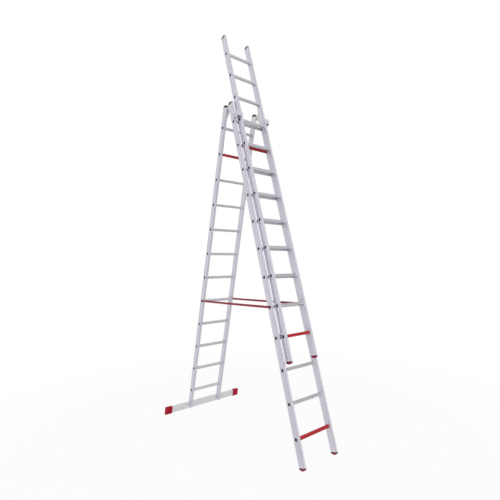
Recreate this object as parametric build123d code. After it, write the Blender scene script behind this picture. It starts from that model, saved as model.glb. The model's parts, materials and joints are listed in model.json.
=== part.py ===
from build123d import *
import os
from math import atan2, cos, degrees, radians, sin, sqrt

# Free-standing three-section combination ladder, opened as a step ladder with its upper
# section slid up. Millimetres, +Z up, X across the rungs, the climbing side towards -Y.
# Each section has its own frame: x across, y towards the back, z up the stiles from the
# centre line of its lowest rung. The middle section leans back, the rear one leans forward.

# Sections
RUNGS = 12
PITCH = 280.0
END_LENGTH = 215.0          # stile beyond its first and last rung
LEAN = 14.5                 # each section from the vertical, degrees
MIDDLE_WIDTH = 434.0
REAR_NARROWER = 10.0        # than the middle section, so that the hinge plates pass side by side
EXTENSION_NARROWER = 82.0   # than the middle section, so that it slides between its guides
EXTENSION_CLEARANCE = 6.0   # between the extension stiles and the middle rungs
EXTENSION_UP = 3            # whole rungs that the extension stands above the middle section

# Stile extrusion
STILE_DEPTH = 64.0
STILE_THICKNESS = 25.0
STILE_CORNER = 4.0
BAND_MARGIN = 2.0           # recessed band beyond the rungs' swaged lips, on each side
BAND_DEPTH = 0.8
STILE_WALL = 1.5

# Rungs
RUNG_SIZE = 28.0
RUNG_CORNER = 7.0
RUNG_WALL = 1.6
RUNG_FIT = 0.05             # gap between rung and stile hole
FLARE_RIM = 2.0             # swaged lip beyond the rung's side
FLARE_THICKNESS = 1.2
BEAD_THICKNESS = 1.5

# End caps and feet
CAP_LIP = 10.0
CAP_DOME = 14.0
CAP_PLUG = 20.0
PLUG_FIT = 0.1
SOLE_FLAT = 1.0             # depth worn off the domes where they meet the ground

# Stabiliser bar across the rear section's foot
BAR_LENGTH = 1000.0
BAR_HEIGHT = 72.0
BAR_DEPTH = 30.0
BAR_WALL = 2.0
BAR_TOP = -160.0            # station of its upper face
BAR_CORNER = 3.0
SEAT_FIT = 0.05
SHOE_LENGTH = 80.0
SHOE_END = 20.0
SHOE_WALL = 4.0
SHOE_ROUND = 16.0
SHOE_CORNER = 6.0

# Hinge between the section heads
HINGE_DOWN = 33.0           # below the stiles' upper ends
HINGE_OFFSET = 60.0         # from the stiles' centre plane to the pivot
PLATE_THICKNESS = 4.0
PLATE_NOSE = 17.0
PLATE_ABOVE = 24.0          # plate above the pivot
PLATE_HEIGHT = 100.0
PLATE_FRONT = 2.0           # plate's edge on the stile, behind the centre plane
PIVOT_RADIUS = 6.0
PIVOT_FIT = 0.06
PIVOT_HEAD = 7.0
SIDE_GAP = 0.3
RIVET_RADIUS = 3.0
RIVET_HEAD = 3.0
RIVET_TAIL = 4.0

# Guide brackets at the middle section's head, round the extension stiles
GUIDE_SHEET = 3.0
GUIDE_HEIGHT = 60.0
GUIDE_DOWN = 192.0          # bracket's foot below the stiles' upper ends
GUIDE_CLEARANCE = 1.5
GUIDE_LIP = 17.0
GUIDE_FOOT = 26.0           # width of the part bolted to the stile
GUIDE_BOLT_RADIUS = 4.0
GUIDE_BOLT_EDGE = 15.0
GUIDE_BOLT_HEAD = 6.0
GUIDE_WASHER = 2.0
GUIDE_NUT = 5.0

# Rung hooks on the extension's foot
HOOK_THICKNESS = 8.0
HOOK_CLEARANCE = 1.5
HOOK_PIVOT_UP = 28.0
HOOK_PIVOT_BACK = 8.0       # behind the extension rungs' centre line
HOOK_ARM = 12.0
HOOK_PRONG = 8.0
HOOK_DROP = 8.0             # how far the prong reaches below the rung's centre
HOOK_EYE = 13.0
HOOK_BOLT_RADIUS = 5.0
HOOK_BOLT_HEAD = 5.0
SEAT_GAP = 0.3

# Spreader straps at the fifth rungs
STRAP_RUNG = 5
STRAP_WIDTH = 22.0
STRAP_THICKNESS = 2.0
STRAP_TAIL = 15.0
STRAP_GAP = 0.3
STRAP_NECK = 5.0
STRAP_HEAD_RADIUS = 13.0
STRAP_HEAD = 3.0
STRAP_PLUG = 18.0

BOLT_HOLE_FIT = 0.1
STABILISER_BOLT_RADIUS = 5.0

# Dependent sizes
LAST = (RUNGS - 1) * PITCH
TOP = LAST + END_LENGTH
HALF_DEPTH = STILE_DEPTH / 2
REAR_WIDTH = MIDDLE_WIDTH - REAR_NARROWER
EXTENSION_WIDTH = MIDDLE_WIDTH - EXTENSION_NARROWER
EXTENSION_FORWARD = HALF_DEPTH + RUNG_SIZE / 2 + EXTENSION_CLEARANCE
BAND_WIDTH = RUNG_SIZE + 2 * (FLARE_RIM + BAND_MARGIN)
HINGE_STATION = TOP - HINGE_DOWN
PLATE_TOP = HINGE_STATION + PLATE_ABOVE
PLATE_BOTTOM = PLATE_TOP - PLATE_HEIGHT
GUIDE_BOTTOM = TOP - GUIDE_DOWN
CAVITY_THICKNESS = STILE_THICKNESS - 2 * (BAND_DEPTH + STILE_WALL)
CAVITY_DEPTH = STILE_DEPTH - 2 * STILE_WALL
LEAN_SIN = sin(radians(LEAN))
LEAN_COS = cos(radians(LEAN))
DOME_RADIUS = (HALF_DEPTH**2 + CAP_DOME**2) / (2 * CAP_DOME)
DOME_CENTRE = END_LENGTH + CAP_LIP + CAP_DOME - DOME_RADIUS
FIRST_RUNG_Z = DOME_RADIUS - SOLE_FLAT + DOME_CENTRE * LEAN_COS
FIRST_RUNG_Y = HINGE_STATION * LEAN_SIN + HINGE_OFFSET * LEAN_COS
PLATE_HOLE = PIVOT_RADIUS + PIVOT_FIT
MIDDLE_INNER = MIDDLE_WIDTH / 2 - STILE_THICKNESS
REAR_INNER = REAR_WIDTH / 2 - STILE_THICKNESS
EXTENSION_OUTER = EXTENSION_WIDTH / 2
EXTENSION_INNER = EXTENSION_OUTER - STILE_THICKNESS
EXTENSION_RISE = EXTENSION_UP * PITCH
SIDES = (("left", -1), ("right", 1))


def along_x(radius, start, end, y, z):
    """Cylinder on a line parallel to X, from start to end."""
    middle = (start + end) / 2
    return Pos(middle, y, z) * Rot(0, 90, 0) * Cylinder(radius, abs(end - start))


def along_y(radius, start, end, x, z):
    middle = (start + end) / 2
    return Pos(x, middle, z) * Rot(90, 0, 0) * Cylinder(radius, abs(end - start))


def hexagon_x(across, start, end, y, z):
    """Hexagon head or nut on a line parallel to X; across is its width over the flats."""
    face = RegularPolygon(across / 2, 6, major_radius=False)
    return Pos(min(start, end), y, z) * Rot(0, 90, 0) * extrude(face, abs(end - start))


def hexagon_y(across, start, end, x, z):
    face = RegularPolygon(across / 2, 6, major_radius=False)
    return Pos(x, max(start, end), z) * Rot(90, 0, 0) * extrude(face, abs(end - start))


def stile(width, side):
    """Hollow stile with a rung hole at each pitch, before the holes for its fasteners."""
    centre = side * (width / 2 - STILE_THICKNESS / 2)
    outline = RectangleRounded(STILE_THICKNESS, STILE_DEPTH, STILE_CORNER)
    for face in (-1, 1):
        outline -= Pos(face * STILE_THICKNESS / 2, 0) * Rectangle(2 * BAND_DEPTH, BAND_WIDTH)
    cavity = RectangleRounded(CAVITY_THICKNESS, CAVITY_DEPTH, STILE_CORNER - STILE_WALL)
    body = Pos(centre, 0, -END_LENGTH) * extrude(outline - cavity, TOP + END_LENGTH)
    size = RUNG_SIZE + 2 * RUNG_FIT
    hole = extrude(RectangleRounded(size, size, RUNG_CORNER), STILE_THICKNESS, both=True)
    for rung in range(RUNGS):
        body -= Pos(centre, 0, rung * PITCH) * Rot(0, 90, 0) * hole
    return body


def rung(width):
    """Rung tube with a swaged lip outside each stile and a bead inside it."""
    outer_face = width / 2 - BAND_DEPTH
    inner_face = width / 2 - STILE_THICKNESS + BAND_DEPTH
    end = outer_face + FLARE_THICKNESS
    ring_size = RUNG_SIZE + 2 * FLARE_RIM
    ring = RectangleRounded(ring_size, ring_size, RUNG_CORNER + FLARE_RIM)
    solid = Rot(0, 90, 0) * extrude(RectangleRounded(RUNG_SIZE, RUNG_SIZE, RUNG_CORNER), end, both=True)
    for side in (-1, 1):
        lip = Rot(0, 90, 0) * extrude(ring, FLARE_THICKNESS / 2, both=True)
        bead = Rot(0, 90, 0) * extrude(ring, BEAD_THICKNESS / 2, both=True)
        solid += Pos(side * (outer_face + FLARE_THICKNESS / 2), 0, 0) * lip
        solid += Pos(side * (inner_face - BEAD_THICKNESS / 2), 0, 0) * bead
    bore_size = RUNG_SIZE - 2 * RUNG_WALL
    bore = RectangleRounded(bore_size, bore_size, RUNG_CORNER - RUNG_WALL)
    return solid - Rot(0, 90, 0) * extrude(bore, end + 1, both=True)


def cap():
    """Domed end cap that stands on z = 0 and plugs into the stile below it."""
    height = CAP_LIP + CAP_DOME
    shell = extrude(RectangleRounded(STILE_THICKNESS, STILE_DEPTH, STILE_CORNER), height)
    outline = Polyline((-HALF_DEPTH, CAP_LIP), (-HALF_DEPTH, 0), (HALF_DEPTH, 0), (HALF_DEPTH, CAP_LIP))
    crown = ThreePointArc((HALF_DEPTH, CAP_LIP), (0, height), (-HALF_DEPTH, CAP_LIP))
    dome = extrude(Plane.YZ * make_face(outline + crown), STILE_THICKNESS, both=True)
    plug = RectangleRounded(CAVITY_THICKNESS - 2 * PLUG_FIT, CAVITY_DEPTH - 2 * PLUG_FIT,
                            STILE_CORNER - STILE_WALL)
    return (shell & dome) + extrude(plug, -CAP_PLUG)


def caps(width, top, bottom):
    """The caps of one section: a pair at its head, a pair at its foot, or both."""
    one = cap()
    found = []
    for _, side in SIDES:
        x = side * (width / 2 - STILE_THICKNESS / 2)
        if top:
            found.append(Pos(x, 0, TOP) * one)
        if bottom:
            found.append(Pos(x, 0, -END_LENGTH) * Rot(180, 0, 0) * one)
    return found


def hinge_plate(face, side, back):
    """Plate on a stile's inner face that reaches to the pivot; back is +1 or -1 along y."""
    pivot = (back * HINGE_OFFSET, HINGE_STATION)
    edge = back * PLATE_FRONT
    rim = back * (HALF_DEPTH - STILE_CORNER)
    slab = make_face(Polyline((edge, PLATE_BOTTOM), (edge, PLATE_TOP), (rim, PLATE_TOP),
                              (pivot[0], HINGE_STATION + PLATE_NOSE),
                              (pivot[0] + back * PLATE_NOSE, HINGE_STATION),
                              (pivot[0], HINGE_STATION - PLATE_NOSE),
                              (rim, PLATE_BOTTOM), (edge, PLATE_BOTTOM)))
    profile = slab + Pos(*pivot) * Circle(PLATE_NOSE)
    profile -= Pos(*pivot) * Circle(PLATE_HOLE)
    start = face if side < 0 else face - PLATE_THICKNESS
    return Pos(start, 0, 0) * extrude(Plane.YZ * profile, PLATE_THICKNESS)


def rivet_places(back):
    """The two rivets of one hinge plate, as (y, z)."""
    y = back * (PLATE_FRONT + HALF_DEPTH - STILE_CORNER) / 2
    return [(y, PLATE_TOP - PLATE_NOSE), (y, PLATE_BOTTOM + PLATE_NOSE)]


def rivet(inner, side, y, z):
    """Rivet through a hinge plate into the stile's inner wall."""
    outside = side * (inner - PLATE_THICKNESS)
    shank = along_x(RIVET_RADIUS, outside, side * (inner + BAND_DEPTH + STILE_WALL + RIVET_TAIL), y, z)
    head = along_x(2 * RIVET_RADIUS, outside - side * RIVET_HEAD, outside, y, z)
    return shank + head


def rivet_hole(inner, side, y, z):
    radius = RIVET_RADIUS + BOLT_HOLE_FIT
    return along_x(radius, side * (inner - 2 * PLATE_THICKNESS), side * (inner + STILE_THICKNESS / 2), y, z)


def pivot_bolt(side):
    """Hinge bolt with a head inboard, a washer between the plates and a nut outboard."""
    inboard = REAR_INNER - PLATE_THICKNESS - SIDE_GAP
    outboard = MIDDLE_INNER + PIVOT_HEAD
    y = HINGE_OFFSET
    shank = along_x(PIVOT_RADIUS, side * inboard, side * outboard, y, HINGE_STATION)
    head = hexagon_x(19, side * (inboard - PIVOT_HEAD), side * inboard, y, HINGE_STATION)
    nut = hexagon_x(19, side * MIDDLE_INNER, side * outboard, y, HINGE_STATION)
    washer = along_x(11, side * (REAR_INNER + SIDE_GAP), side * (MIDDLE_INNER - PLATE_THICKNESS),
                     y, HINGE_STATION)
    return shank + head + nut + washer


def guide_bracket(side):
    """Bent sheet from the middle stile's outer face, round the extension stile's front."""
    half = GUIDE_SHEET / 2
    web = MIDDLE_WIDTH / 2 + half
    front = -(EXTENSION_FORWARD + HALF_DEPTH + GUIDE_CLEARANCE + half)
    lip = EXTENSION_INNER - GUIDE_CLEARANCE - half
    path = Polyline((side * web, -HALF_DEPTH + GUIDE_FOOT), (side * web, front),
                    (side * lip, front), (side * lip, front + GUIDE_LIP))
    body = Pos(0, 0, GUIDE_BOTTOM) * extrude(trace(path, line_width=GUIDE_SHEET), GUIDE_HEIGHT)
    for z in guide_bolt_stations():
        body -= guide_bolt_hole(side, z)
    return body


def guide_bolt_stations():
    return (GUIDE_BOTTOM + GUIDE_BOLT_EDGE, GUIDE_BOTTOM + GUIDE_HEIGHT - GUIDE_BOLT_EDGE)


def guide_bolt_y():
    return -HALF_DEPTH + GUIDE_FOOT / 2


def guide_bolt_hole(side, z):
    reach = MIDDLE_WIDTH / 2 + GUIDE_SHEET + 1
    start = MIDDLE_INNER - 1
    return along_x(GUIDE_BOLT_RADIUS + BOLT_HOLE_FIT, side * start, side * reach, guide_bolt_y(), z)


def guide_bolt(side, z):
    """Bolt through bracket and middle stile, head and washer outside, nut inside."""
    y = guide_bolt_y()
    outer = MIDDLE_WIDTH / 2 + GUIDE_SHEET
    under_head = outer + GUIDE_WASHER
    under_nut = MIDDLE_INNER - GUIDE_NUT
    shank = along_x(GUIDE_BOLT_RADIUS, side * (under_nut - 1), side * (under_head + GUIDE_BOLT_HEAD / 2), y, z)
    head = hexagon_x(13, side * under_head, side * (under_head + GUIDE_BOLT_HEAD), y, z)
    washer = along_x(9, side * outer, side * under_head, y, z)
    nut = hexagon_x(13, side * under_nut, side * MIDDLE_INNER, y, z)
    return shank + head + washer + nut


def hook_pivot():
    """The hook's pivot in the extension's frame, as (y, z)."""
    return HOOK_PIVOT_BACK, HOOK_PIVOT_UP


def rung_hook(side):
    """Pivoting hook beside the extension stile that drops over a middle rung."""
    y, z = hook_pivot()
    rung_half = RUNG_SIZE / 2 + SEAT_GAP
    rest = EXTENSION_FORWARD
    back = rest + rung_half + HOOK_PRONG
    under = rung_half
    outline = make_face(Polyline((y, z + HOOK_EYE), (rest + rung_half, under + HOOK_ARM),
                                 (back, under), (back, -HOOK_DROP), (rest + rung_half, -HOOK_DROP),
                                 (rest + rung_half, under), (rest - rung_half, under),
                                 (rest - rung_half - HOOK_PRONG, 0), (y, z - HOOK_EYE),
                                 (y, z + HOOK_EYE)))
    profile = outline + Pos(y, z) * Circle(HOOK_EYE)
    profile -= Pos(y, z) * Circle(HOOK_BOLT_RADIUS + PIVOT_FIT)
    start = EXTENSION_OUTER + HOOK_CLEARANCE
    if side < 0:
        start = -start - HOOK_THICKNESS
    return Pos(start, 0, 0) * extrude(Plane.YZ * profile, HOOK_THICKNESS)


def hook_bolt(side):
    """Shouldered bolt through the extension stile that the hook turns on."""
    y, z = hook_pivot()
    inner = EXTENSION_INNER + BAND_DEPTH
    outer = EXTENSION_OUTER + HOOK_CLEARANCE + HOOK_THICKNESS + SIDE_GAP
    shank = along_x(HOOK_BOLT_RADIUS, side * inner, side * outer, y, z)
    head = hexagon_x(15, side * (inner - HOOK_BOLT_HEAD), side * inner, y, z)
    keeper = along_x(HOOK_BOLT_RADIUS + 3, side * outer, side * (outer + 3), y, z)
    washer_end = EXTENSION_OUTER + HOOK_CLEARANCE - SIDE_GAP
    washer = along_x(HOOK_BOLT_RADIUS + 3, side * (EXTENSION_OUTER - BAND_DEPTH), side * washer_end, y, z)
    return shank + head + keeper + washer


def hook_bolt_hole(side):
    y, z = hook_pivot()
    radius = HOOK_BOLT_RADIUS + BOLT_HOLE_FIT
    return along_x(radius, side * (EXTENSION_INNER - 1), side * (EXTENSION_OUTER + 1), y, z)


def bar_box(grow, half_length):
    """The stabiliser bar's outline grown on every side, as a solid block."""
    y = HALF_DEPTH - BAR_DEPTH / 2
    z = BAR_TOP - BAR_HEIGHT / 2
    face = RectangleRounded(BAR_DEPTH + 2 * grow, BAR_HEIGHT + 2 * grow, BAR_CORNER + max(grow, -2))
    return Pos(0, y, z) * extrude(Plane.YZ * face, half_length, both=True)


def stabiliser_bolt_z():
    return (BAR_TOP - END_LENGTH) / 2


def stabiliser_bolt_hole(side):
    x = side * (REAR_WIDTH / 2 - STILE_THICKNESS / 2)
    radius = STABILISER_BOLT_RADIUS + BOLT_HOLE_FIT
    return along_y(radius, -HALF_DEPTH - 1, HALF_DEPTH + 1, x, stabiliser_bolt_z())


def stabiliser_bolt(side):
    """Bolt from the stile's front strip through the bar, nut at the back."""
    x = side * (REAR_WIDTH / 2 - STILE_THICKNESS / 2)
    z = stabiliser_bolt_z()
    shank = along_y(STABILISER_BOLT_RADIUS, -HALF_DEPTH, HALF_DEPTH + 9, x, z)
    head = hexagon_y(17, -HALF_DEPTH - 6, -HALF_DEPTH, x, z)
    nut = hexagon_y(17, HALF_DEPTH, HALF_DEPTH + 7, x, z)
    return shank + head + nut


def stabiliser_bar():
    body = bar_box(0, BAR_LENGTH / 2) - bar_box(-BAR_WALL, BAR_LENGTH)
    for _, side in SIDES:
        body -= stabiliser_bolt_hole(side)
    return body


def stabiliser_shoe(side):
    """Shoe over the bar's end, with a rounded sole that reaches the ground."""
    inner_end = BAR_LENGTH / 2 + SHOE_END - SHOE_LENGTH
    front = HALF_DEPTH - BAR_DEPTH - SHOE_WALL
    back = HALF_DEPTH + SHOE_WALL
    round_z = (SHOE_ROUND - SOLE_FLAT - FIRST_RUNG_Z - (front + SHOE_ROUND) * LEAN_SIN) / LEAN_COS
    bottom = round_z - SHOE_ROUND
    top = BAR_TOP + SHOE_WALL
    block = Pos(0, (front + back) / 2, (top + bottom) / 2) * Box(SHOE_LENGTH, back - front, top - bottom)
    block = fillet(block.edges().filter_by(Axis.X).group_by(Axis.Z)[0], SHOE_ROUND)
    block = fillet(block.edges().filter_by(Axis.X).group_by(Axis.Z)[-1], SHOE_CORNER)
    block = Pos(side * (inner_end + SHOE_LENGTH / 2), 0, 0) * block
    return block - bar_box(SEAT_FIT, BAR_LENGTH / 2 + SEAT_FIT)


def strap_bolt(width, side):
    """Bolt at a rung's end: plug in the rung's bore, neck through the strap, round head."""
    plug_size = RUNG_SIZE - 2 * RUNG_WALL - 2 * PLUG_FIT
    mouth = width / 2 - BAND_DEPTH + FLARE_THICKNESS
    strap_face = width / 2 + STRAP_GAP + STRAP_GAP
    head_start = strap_face + STRAP_THICKNESS + STRAP_GAP
    face = RectangleRounded(plug_size, plug_size, RUNG_CORNER - RUNG_WALL)
    plug = Pos(side * (mouth - STRAP_PLUG / 2), 0, 0) * Rot(0, 90, 0) * extrude(face, STRAP_PLUG / 2, both=True)
    neck = along_x(STRAP_NECK, side * (mouth - 1), side * (head_start + 1), 0, 0)
    head = along_x(STRAP_HEAD_RADIUS, side * head_start, side * (head_start + STRAP_HEAD), 0, 0)
    return Pos(0, 0, (STRAP_RUNG - 1) * PITCH) * (plug + neck + head)


def section_place(rear):
    """Where a section's own frame stands: the rear section is the mirror of the middle one."""
    side = 1 if rear else -1
    return Pos(0, side * FIRST_RUNG_Y, FIRST_RUNG_Z) * Rot(side * LEAN, 0, 0)


def strap(side):
    """Webbing held taut between the two sections' fifth rungs, with an eyelet at each end."""
    along = (STRAP_RUNG - 1) * PITCH
    end_y = FIRST_RUNG_Y - along * LEAN_SIN
    height = FIRST_RUNG_Z + along * LEAN_COS
    middle_x = MIDDLE_WIDTH / 2 + 2 * STRAP_GAP
    rear_x = REAR_WIDTH / 2 + 2 * STRAP_GAP
    reach = end_y + STRAP_TAIL
    outline = Polyline((side * middle_x, -reach), (side * rear_x, reach),
                       (side * (rear_x + STRAP_THICKNESS), reach),
                       (side * (middle_x + STRAP_THICKNESS), -reach), (side * middle_x, -reach))
    band = Pos(0, 0, height) * extrude(make_face(outline), STRAP_WIDTH / 2, both=True)
    for y in (-end_y, end_y):
        band -= along_x(STRAP_NECK + STRAP_GAP, side * (rear_x - 5), side * (middle_x + 9), y, height)
    return band


def middle_section():
    nodes = {}
    bolts = []
    for name, side in SIDES:
        body = stile(MIDDLE_WIDTH, side)
        plate = hinge_plate(side * MIDDLE_INNER, side, 1)
        for y, z in rivet_places(1):
            hole = rivet_hole(MIDDLE_INNER, side, y, z)
            body -= hole
            plate -= hole
            bolts.append(rivet(MIDDLE_INNER, side, y, z))
        for z in guide_bolt_stations():
            body -= guide_bolt_hole(side, z)
            bolts.append(guide_bolt(side, z))
        bolts += [pivot_bolt(side), strap_bolt(MIDDLE_WIDTH, side)]
        nodes[f"middle_stile_{name}"] = body
        nodes[f"guide_bracket_{name}"] = guide_bracket(side)
        nodes.setdefault("middle_hinge_plates", []).append(plate)
    one = rung(MIDDLE_WIDTH)
    for number in range(RUNGS):
        nodes[f"middle_rung_{number + 1:02d}"] = Pos(0, 0, number * PITCH) * one
    nodes["middle_caps_and_feet"] = caps(MIDDLE_WIDTH, True, True)
    nodes["middle_bolts"] = bolts
    return nodes


def rear_section():
    nodes = {}
    bolts = []
    seat = bar_box(SEAT_FIT, BAR_LENGTH / 2)
    below = Pos(0, HALF_DEPTH - BAR_DEPTH / 2, BAR_TOP - BAR_HEIGHT) * Box(
        BAR_LENGTH, BAR_DEPTH + 2 * SEAT_FIT, BAR_HEIGHT)
    corner = Pos(0, HALF_DEPTH, BAR_TOP - BAR_HEIGHT / 2) * Box(
        BAR_LENGTH, BAR_DEPTH, BAR_HEIGHT + 2 * SEAT_FIT)
    for name, side in SIDES:
        body = stile(REAR_WIDTH, side) - seat - below - corner - stabiliser_bolt_hole(side)
        plate = hinge_plate(side * REAR_INNER, side, -1)
        for y, z in rivet_places(-1):
            hole = rivet_hole(REAR_INNER, side, y, z)
            body -= hole
            plate -= hole
            bolts.append(rivet(REAR_INNER, side, y, z))
        bolts += [stabiliser_bolt(side), strap_bolt(REAR_WIDTH, side)]
        nodes[f"rear_stile_{name}"] = body
        nodes[f"stabiliser_shoe_{name}"] = stabiliser_shoe(side)
        nodes.setdefault("rear_hinge_plates", []).append(plate)
    one = rung(REAR_WIDTH)
    for number in range(RUNGS):
        nodes[f"rear_rung_{number + 1:02d}"] = Pos(0, 0, number * PITCH) * one
    nodes["rear_caps"] = caps(REAR_WIDTH, True, False)
    nodes["stabiliser_bar"] = stabiliser_bar()
    nodes["rear_bolts"] = bolts
    return nodes


def extension_section():
    nodes = {}
    for name, side in SIDES:
        nodes[f"extension_stile_{name}"] = stile(EXTENSION_WIDTH, side) - hook_bolt_hole(side)
        nodes[f"rung_hook_{name}"] = rung_hook(side)
        nodes.setdefault("hook_bolts", []).append(hook_bolt(side))
    one = rung(EXTENSION_WIDTH)
    for number in range(RUNGS):
        nodes[f"extension_rung_{number + 1:02d}"] = Pos(0, 0, number * PITCH) * one
    nodes["extension_caps"] = caps(EXTENSION_WIDTH, True, True)
    return nodes


def as_list(shape):
    return shape if isinstance(shape, list) else [shape]


front_place = section_place(False)
model = {}
for name, shape in middle_section().items():
    model[name] = [front_place * one for one in as_list(shape)]
extension_place = front_place * Pos(0, -EXTENSION_FORWARD, EXTENSION_RISE)
for name, shape in extension_section().items():
    model[name] = [extension_place * one for one in as_list(shape)]
for name, shape in rear_section().items():
    model[name] = [section_place(True) * one for one in as_list(shape)]
for name, side in SIDES:
    model[f"spreader_strap_{name}"] = [strap(side)]

# The domes and soles end in a flat on the ground plane.
soil = Pos(0, 0, -50) * Box(4000, 4000, 100)
for name in ("middle_caps_and_feet", "stabiliser_shoe_left", "stabiliser_shoe_right"):
    model[name] = [one - soil for one in model[name]]

# The origin is the middle of the footprint, on the ground.
footprint = Compound(children=[*model["middle_caps_and_feet"], *model["stabiliser_shoe_left"]]).bounding_box()
shift = Pos(0, -(footprint.min.Y + footprint.max.Y) / 2, 0)

os.makedirs("parts", exist_ok=True)
for name, shapes in model.items():
    solids = [solid for one in shapes for solid in (shift * one).solids()]
    whole = solids[0] if len(solids) == 1 else Compound(children=solids)
    export_step(whole, f"parts/{name}.step")

print("nodes", len(model))
print("shift y", round(shift.position.Y, 4))
print("first rungs at y", round(FIRST_RUNG_Y, 3), "z", round(FIRST_RUNG_Z, 3))
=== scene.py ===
import json
import math

import bmesh
import bpy
import numpy as np
from mathutils import Matrix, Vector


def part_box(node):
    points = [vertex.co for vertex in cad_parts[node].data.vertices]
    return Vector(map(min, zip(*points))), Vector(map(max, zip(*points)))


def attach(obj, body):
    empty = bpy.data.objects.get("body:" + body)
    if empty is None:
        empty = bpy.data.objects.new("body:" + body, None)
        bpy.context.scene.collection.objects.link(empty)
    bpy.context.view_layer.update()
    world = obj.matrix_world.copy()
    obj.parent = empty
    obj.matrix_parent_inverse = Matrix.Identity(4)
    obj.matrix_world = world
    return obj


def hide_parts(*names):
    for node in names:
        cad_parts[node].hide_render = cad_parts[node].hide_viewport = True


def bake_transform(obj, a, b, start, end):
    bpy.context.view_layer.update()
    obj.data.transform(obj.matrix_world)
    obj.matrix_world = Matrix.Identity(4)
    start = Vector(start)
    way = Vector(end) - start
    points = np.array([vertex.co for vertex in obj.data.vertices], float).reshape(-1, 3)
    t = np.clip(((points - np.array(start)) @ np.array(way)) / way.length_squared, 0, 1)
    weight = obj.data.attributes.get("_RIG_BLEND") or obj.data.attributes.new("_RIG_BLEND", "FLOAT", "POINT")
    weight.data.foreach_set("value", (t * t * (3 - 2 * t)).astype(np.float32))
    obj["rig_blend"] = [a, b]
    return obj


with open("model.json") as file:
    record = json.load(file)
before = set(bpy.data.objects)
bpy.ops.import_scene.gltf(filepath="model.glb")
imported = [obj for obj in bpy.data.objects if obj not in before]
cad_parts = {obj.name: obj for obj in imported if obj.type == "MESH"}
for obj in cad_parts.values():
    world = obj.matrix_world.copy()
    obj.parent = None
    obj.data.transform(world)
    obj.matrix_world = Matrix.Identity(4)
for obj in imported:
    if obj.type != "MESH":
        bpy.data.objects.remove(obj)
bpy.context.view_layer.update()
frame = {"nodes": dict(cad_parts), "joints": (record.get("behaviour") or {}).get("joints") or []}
mm = 0.001
sides = (("Left", "left", -1), ("Right", "right", 1))
print("frame loaded,", len(frame["nodes"]), "nodes")


# where each section stands

def boxMiddle(node):
    low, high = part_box(node)
    return (np.array(low) + np.array(high)) / 2


def sectionFrame(firstRung, up):
    # x across the rungs, y towards the back and z up the stile, from the lowest rung's centre
    across = np.array([1.0, 0.0, 0.0])
    return {"origin": boxMiddle(firstRung), "axes": np.stack([across, np.cross(up, across), up])}


slide = next(joint for joint in frame["joints"] if joint["name"] == "extension_slide")
leanUp = np.array(slide["axis"], float)
leanUp /= np.linalg.norm(leanUp)
lean = math.atan2(leanUp[1], leanUp[2])
sections = {
    "middle": sectionFrame("middle_rung_01", leanUp),
    "extension": sectionFrame("extension_rung_01", leanUp),
    "rear": sectionFrame("rear_rung_01", leanUp * (1, -1, 1)),
}
bodies = {"middle": "middle_section", "extension": "extension_section", "rear": "rear_section"}
halfWidths = {name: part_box(f"{name}_stile_right")[1][0] for name in sections}
stileThickness = 25 * mm
stileDepth = 64 * mm
bandDepth = 0.8 * mm            # depth of the pressed band round each hole in a stile
rungPitch = 280 * mm
rungCount = 12
stileOverhang = 215 * mm        # stile beyond its first and last rung


def stand(points, section):
    return sections[section]["origin"] + points @ sections[section]["axes"]


# mesh helpers

def gridFaces(rows, columns, closeRows=False, closeColumns=False):
    # quads between neighbouring rows and columns; a closed direction joins its last line to its first
    row = np.arange(rows if closeRows else rows - 1)
    column = np.arange(columns if closeColumns else columns - 1)
    row, column = (a.ravel() for a in np.meshgrid(row, column, indexing="ij"))
    nextRow, nextColumn = (row + 1) % rows, (column + 1) % columns
    return np.stack([row * columns + column, row * columns + nextColumn,
                     nextRow * columns + nextColumn, nextRow * columns + column], 1)


def tidyMesh(mesh, sharpAngle, shut=True):
    # merges the rows that meet at seams and poles, turns every face outwards, keeps edges above the angle
    # crisp
    work = bmesh.new()
    work.from_mesh(mesh)
    bmesh.ops.remove_doubles(work, verts=work.verts, dist=1e-6)
    bmesh.ops.dissolve_degenerate(work, edges=work.edges, dist=1e-7)
    if shut:
        bmesh.ops.recalc_face_normals(work, faces=work.faces)
    work.to_mesh(mesh)
    work.free()
    mesh.shade_smooth()
    mesh.set_sharp_from_angle(angle=math.radians(sharpAngle))


def makePiece(name, shells, material, sharpAngle=35, shut=True):
    # shells are (points, quads) or (points, quads, attribute values); they go into one mesh in the row frame
    points = np.concatenate([shell[0].reshape(-1, 3) for shell in shells])
    starts = np.cumsum([0] + [shell[0].reshape(-1, 3).shape[0] for shell in shells])
    faces = np.concatenate([shell[1] + start for shell, start in zip(shells, starts)])
    mesh = bpy.data.meshes.new(name)
    mesh.from_pydata(points.tolist(), [], faces.tolist())
    if len(shells[0]) > 2:
        shade = mesh.attributes.new("shade", "FLOAT", "POINT")
        values = np.concatenate([shell[2].ravel() for shell in shells])
        shade.data.foreach_set("value", values.astype(np.float32))
    tidyMesh(mesh, sharpAngle, shut)
    piece = bpy.data.objects.new(name, mesh)
    bpy.context.scene.collection.objects.link(piece)
    mesh.materials.append(material)
    return piece


def roundedOutline(width, depth, corner, perSide, perCorner):
    # rounded rectangle run anticlockwise: each side is evenly divided, each corner a quarter circle
    halfW, halfD = width / 2 - corner, depth / 2 - corner
    points = []
    for quarter, (cx, cy) in enumerate(((halfW, halfD), (-halfW, halfD), (-halfW, -halfD), (halfW, -halfD))):
        angle = (quarter + np.linspace(0, 1, perCorner)) * np.pi / 2
        normal = np.stack([np.cos(angle), np.sin(angle)], 1)
        points.append(np.array([cx, cy]) + corner * normal)
        following = ((-halfW, halfD), (-halfW, -halfD), (halfW, -halfD), (halfW, halfD))[quarter]
        start, stop = points[-1][-1], np.array(following) + corner * normal[-1]
        share = (np.linspace(0, 1, perSide + 2)[1:-1])[:, None]
        points.append(start + share * (stop - start))
    return np.concatenate(points)


# materials

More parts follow.
